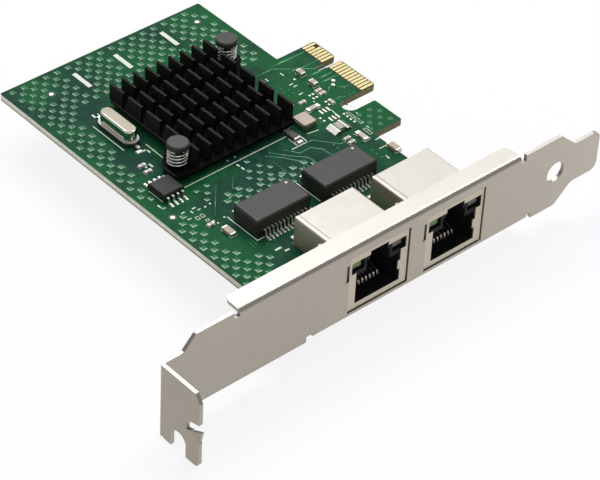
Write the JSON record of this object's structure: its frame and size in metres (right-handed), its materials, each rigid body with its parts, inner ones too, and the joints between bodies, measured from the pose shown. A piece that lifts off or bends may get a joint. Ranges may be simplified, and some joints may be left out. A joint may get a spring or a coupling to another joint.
{
  "type": "network interface card",
  "caption": "Circuit board with network jacks in a long slotted metal bracket, a finned heat sink on push pins, and a gold contact edge for a card slot.",
  "frame": {"origin": "centre of the key notch on the card edge, half way through the board's thickness", "axes": "+X the way the card plugs in, -Y out through the bracket and jacks, +Z out of the component side of the board"},
  "size_m": [0.12, 0.1058, 0.0216],
  "materials": {
    "board": "green solder mask on glass fibre, satin sheen",
    "gold_contacts": "gold plating, smooth",
    "bracket_steel": "nickel plated sheet, satin",
    "screw_steel": "plated steel, smooth",
    "shield_nickel": "nickel plated sheet, bright satin",
    "jack_plastic": "moulded black, fine grain",
    "green_lens": "tinted clear plastic, smooth",
    "clear_lens": "clear plastic, smooth",
    "case_plastic": "moulded dark grey, fine grain",
    "tinned_leads": "tinned, smooth",
    "package_plastic": "moulded, fine grain",
    "solder": "solder, smooth",
    "thermal_pad": "soft grey pad",
    "sink_aluminium": "black anodised, satin",
    "pin_plastic": "moulded dark, smooth",
    "spring_steel": "drawn wire, bright",
    "crystal_steel": "drawn nickel silver, bright satin",
    "insulator": "thin black insulator",
    "memory_plastic": "moulded dark grey, fine grain",
    "ceramic_base": "ceramic, matt",
    "lid_metal": "plated lid, satin",
    "fuse_ceramic": "glazed ceramic, dark",
    "capacitor_ceramic": "ceramic, tan, matt",
    "chip_ceramic": "pale glaze over ceramic",
    "ferrite": "dark ferrite, satin"
  },
  "bodies": {
    "root": {"circuit_board": "board", "edge_contacts": "gold_contacts", "bracket": "bracket_steel", "bracket_screws": "screw_steel", "jack_1_shield": "shield_nickel", "jack_1_housing": "jack_plastic", "jack_1_contacts": "gold_contacts", "jack_1_green_light": "green_lens", "jack_1_clear_light": "clear_lens", "jack_2_shield": "shield_nickel", "jack_2_housing": "jack_plastic", "jack_2_contacts": "gold_contacts", "jack_2_green_light": "green_lens", "jack_2_clear_light": "clear_lens", "transformer_1_body": "case_plastic", "transformer_1_pins": "tinned_leads", "transformer_2_body": "case_plastic", "transformer_2_pins": "tinned_leads", "controller_package": "package_plastic", "controller_solder_joints": "solder", "thermal_pad": "thermal_pad", "heatsink": "sink_aluminium", "push_pins": "pin_plastic", "push_pin_springs": "spring_steel", "crystal_can": "crystal_steel", "crystal_base": "insulator", "crystal_leads": "tinned_leads", "memory_body": "memory_plastic", "memory_leads": "tinned_leads", "oscillator_base": "ceramic_base", "oscillator_lid": "lid_metal", "fuse_body": "fuse_ceramic", "fuse_ends": "tinned_leads", "large_capacitor_bodies": "capacitor_ceramic", "large_capacitor_ends": "tinned_leads", "medium_capacitor_bodies": "capacitor_ceramic", "medium_capacitor_ends": "tinned_leads", "long_chip_bodies": "chip_ceramic", "long_chip_ends": "tinned_leads", "small_resistor_bodies": "chip_ceramic", "small_resistor_ends": "tinned_leads", "ferrite_bead_bodies": "ferrite", "ferrite_bead_ends": "tinned_leads", "solder_pads": "solder"}
  },
  "joints": []
}
